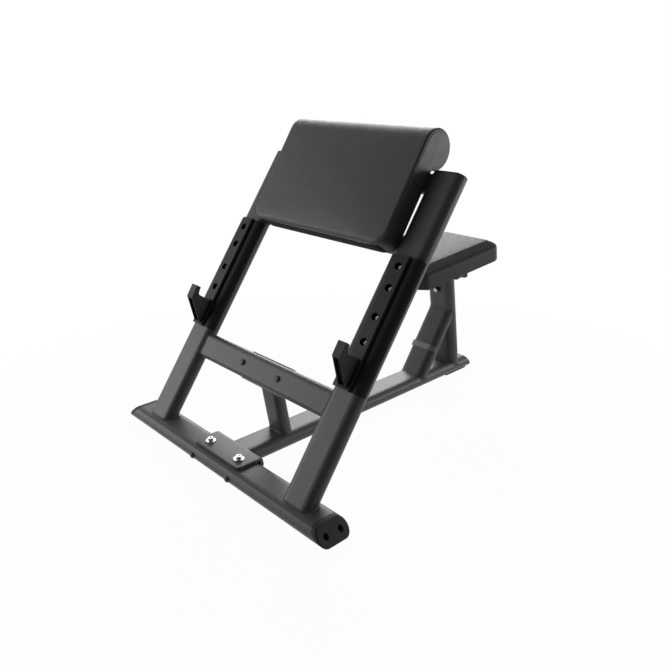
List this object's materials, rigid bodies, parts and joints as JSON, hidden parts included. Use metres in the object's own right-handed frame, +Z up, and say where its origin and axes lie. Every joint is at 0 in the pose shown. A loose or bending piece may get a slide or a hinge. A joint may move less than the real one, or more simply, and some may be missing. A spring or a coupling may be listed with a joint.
{
  "type": "preacher bench",
  "caption": "Free-standing preacher curl bench: a leaning frame of flat-oval tubes with a rolled arm pad, bar hooks on its uprights and a padded seat behind.",
  "frame": {"origin": "on the floor, at the middle of the bounding box", "axes": "+X to the right seen from the front, +Y from the front cross tube to the seat, +Z up"},
  "size_m": [0.9244, 1.1544, 0.9067],
  "materials": {
    "powder_coat": "satin charcoal powder coat",
    "moulding": "fine textured black moulding",
    "vinyl": "black grained vinyl",
    "plywood": "plain plywood",
    "grey_moulding": "satin dark grey moulding",
    "rubber": "black rubber",
    "bright_steel": "bright zinc",
    "dark_steel": "black oxide"
  },
  "bodies": {
    "root": {"base_tube": "powder_coat", "center_beam": "powder_coat", "saddle_plate": "powder_coat", "upright_left": "powder_coat", "upright_right": "powder_coat", "crossbar": "powder_coat", "strut_flange": "powder_coat", "strut": "powder_coat", "pad_cross_member_upper": "powder_coat", "pad_cross_member_lower": "powder_coat", "seat_post": "powder_coat", "seat_brace": "powder_coat", "seat_bracket": "powder_coat", "base_end_cap_left": "moulding", "base_end_cap_right": "moulding", "beam_end_cap": "moulding", "upright_cap_left": "moulding", "upright_cap_right": "moulding", "rack_cover_left": "moulding", "rack_cover_right": "moulding", "post_bolt_bushing": "moulding", "arm_pad": "vinyl", "seat_pad": "vinyl", "arm_pad_board": "plywood", "seat_board": "plywood", "rear_foot": "rubber", "front_foot_left": "rubber", "front_foot_right": "rubber", "saddle_washer_1": "bright_steel", "saddle_washer_2": "bright_steel", "saddle_bolt_1": "bright_steel", "saddle_bolt_2": "bright_steel", "post_bolt": "bright_steel", "rack_cover_screw_left_1": "bright_steel", "rack_cover_screw_left_2": "bright_steel", "rack_cover_screw_left_3": "bright_steel", "rack_cover_screw_left_4": "bright_steel", "rack_cover_screw_right_1": "bright_steel", "rack_cover_screw_right_2": "bright_steel", "rack_cover_screw_right_3": "bright_steel", "rack_cover_screw_right_4": "bright_steel", "badge_band": "grey_moulding", "end_cap_screw_left_1": "dark_steel", "end_cap_screw_left_2": "dark_steel", "end_cap_screw_right_1": "dark_steel", "end_cap_screw_right_2": "dark_steel", "base_bolt_1": "dark_steel", "base_bolt_2": "dark_steel", "base_nut_1": "dark_steel", "base_nut_2": "dark_steel", "crossbar_bolt_1": "dark_steel", "crossbar_bolt_2": "dark_steel", "crossbar_nut_1": "dark_steel", "crossbar_nut_2": "dark_steel", "seat_bolt_1": "dark_steel", "seat_bolt_2": "dark_steel", "pad_bolt_1": "dark_steel", "pad_bolt_2": "dark_steel", "pad_bolt_3": "dark_steel", "pad_bolt_4": "dark_steel"}
  },
  "joints": []
}
